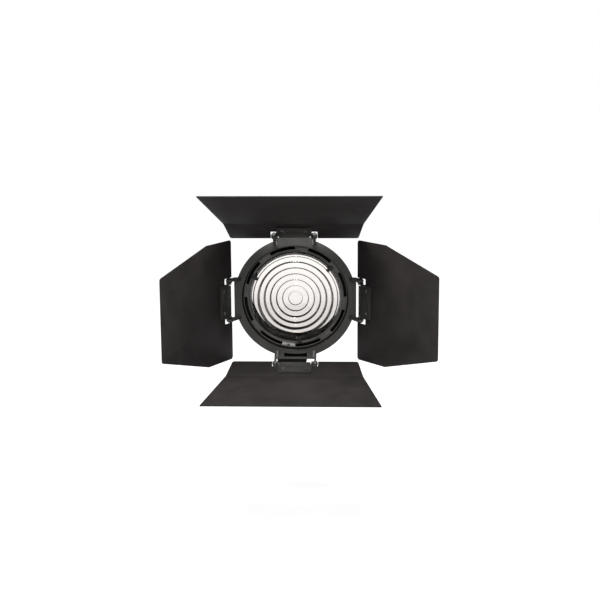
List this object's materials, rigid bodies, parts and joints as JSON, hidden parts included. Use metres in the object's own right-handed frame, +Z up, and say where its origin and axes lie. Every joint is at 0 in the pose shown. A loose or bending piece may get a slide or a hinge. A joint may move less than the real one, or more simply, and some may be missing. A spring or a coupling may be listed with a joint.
{
  "type": "barn door attachment",
  "caption": "Stepped-lens spotlight front with a zoom ring and a rotating ring that carries hinged barn door leaves on all sides.",
  "frame": {"origin": "centre of the rear mounting plane, on the beam axis", "axes": "-Y along the beam, +X to the right for a viewer facing the lens, +Z up"},
  "size_m": [0.4216, 0.2761, 0.3192],
  "materials": {
    "leaf_paint": "satin black paint",
    "bracket_paint": "satin black paint",
    "cast_black": "fine-textured black powder coat",
    "anodised_black": "black anodised, turned",
    "moulded_black": "fine moulded grain",
    "rubber_black": "matt",
    "lens_glass": "polished clear glass",
    "bright_steel": "bright, lightly brushed",
    "black_screw": "black oxide"
  },
  "bodies": {
    "rear_mount": {"barrel": "cast_black", "barrel_screw_1": "black_screw", "barrel_screw_2": "black_screw", "barrel_screw_3": "black_screw", "barrel_screw_4": "black_screw", "barrel_stop_ring": "anodised_black", "bayonet_ring": "bright_steel", "bayonet_screw_1": "bright_steel", "bayonet_screw_2": "bright_steel", "bayonet_screw_3": "bright_steel", "mount_flange": "cast_black"},
    "zoom_control": {"zoom_ring": "anodised_black", "zoom_grip": "rubber_black"},
    "lens_carriage": {"bezel_clip": "bright_steel", "bezel_clip_screw": "black_screw", "bezel_screw_1": "black_screw", "bezel_screw_2": "black_screw", "bezel_screw_3": "black_screw", "carriage_tube": "cast_black", "follower_pin_1": "bright_steel", "follower_pin_2": "bright_steel", "follower_pin_3": "bright_steel", "fresnel_lens": "lens_glass", "lens_bezel": "moulded_black", "lens_clip_1": "bracket_paint", "lens_clip_2": "bracket_paint", "lens_clip_3": "bracket_paint", "lens_gasket": "rubber_black", "lens_housing": "cast_black"},
    "door_ring": {"door_ring_plate": "cast_black", "guide_collar": "anodised_black", "lock_block": "moulded_black", "lock_guide_screw": "black_screw", "pivot_screw_bottom_1": "black_screw", "pivot_screw_bottom_2": "black_screw", "pivot_screw_left_1": "black_screw", "pivot_screw_left_2": "black_screw", "pivot_screw_right_1": "black_screw", "pivot_screw_right_2": "black_screw", "pivot_screw_top_1": "black_screw", "pivot_screw_top_2": "black_screw", "ring_retainer": "cast_black"},
    "ring_lock": {"ring_lock_lever": "moulded_black", "ring_lock_stud": "bright_steel"},
    "door_right": {"leaf_right": "leaf_paint", "leaf_bracket_right": "bracket_paint", "bracket_screw_right_1": "black_screw", "bracket_screw_right_2": "black_screw"},
    "door_top": {"leaf_top": "leaf_paint", "leaf_bracket_top": "bracket_paint", "bracket_screw_top_1": "black_screw", "bracket_screw_top_2": "black_screw"},
    "door_left": {"leaf_left": "leaf_paint", "leaf_bracket_left": "bracket_paint", "bracket_screw_left_1": "black_screw", "bracket_screw_left_2": "black_screw"},
    "door_bottom": {"leaf_bottom": "leaf_paint", "leaf_bracket_bottom": "bracket_paint", "bracket_screw_bottom_1": "black_screw", "bracket_screw_bottom_2": "black_screw"}
  },
  "joints": [
    {"name": "zoom_turn", "type": "hinge", "parent": "rear_mount", "child": "zoom_control", "pos_m": [0, 0, 0], "axis": [0, -1, 0], "range_deg": [0, 100]},
    {"name": "lens_slide", "type": "slide", "parent": "rear_mount", "child": "lens_carriage", "axis": [0, -1, 0], "range_m": [0, 0.02]},
    {"name": "door_ring_turn", "type": "hinge", "parent": "lens_carriage", "child": "door_ring", "pos_m": [0, 0, 0], "axis": [0, -1, 0], "continuous": true},
    {"name": "ring_lock_turn", "type": "hinge", "parent": "door_ring", "child": "ring_lock", "pos_m": [-0.004, -0.061, -0.1034], "axis": [0, 0, -1], "range_deg": [0, 30]},
    {"name": "door_right_hinge", "type": "hinge", "parent": "door_ring", "child": "door_right", "pos_m": [0.106, -0.092, 0], "axis": [0, 0, 1], "range_deg": [-131, 59]},
    {"name": "door_left_hinge", "type": "hinge", "parent": "door_ring", "child": "door_left", "pos_m": [-0.106, -0.092, 0], "axis": [0, 0, 1], "range_deg": [-69.9, 120.1]},
    {"name": "door_top_hinge", "type": "hinge", "parent": "door_ring", "child": "door_top", "pos_m": [0, -0.092, 0.106], "axis": [1, 0, 0], "range_deg": [-58.2, 96.8]},
    {"name": "door_bottom_hinge", "type": "hinge", "parent": "door_ring", "child": "door_bottom", "pos_m": [0, -0.092, -0.106], "axis": [1, 0, 0], "range_deg": [-74.8, 80.2]}
  ],
  "couplings": [
    {"joint": "lens_slide", "follows": "zoom_turn", "m_per_rad": 0.011459}
  ]
}
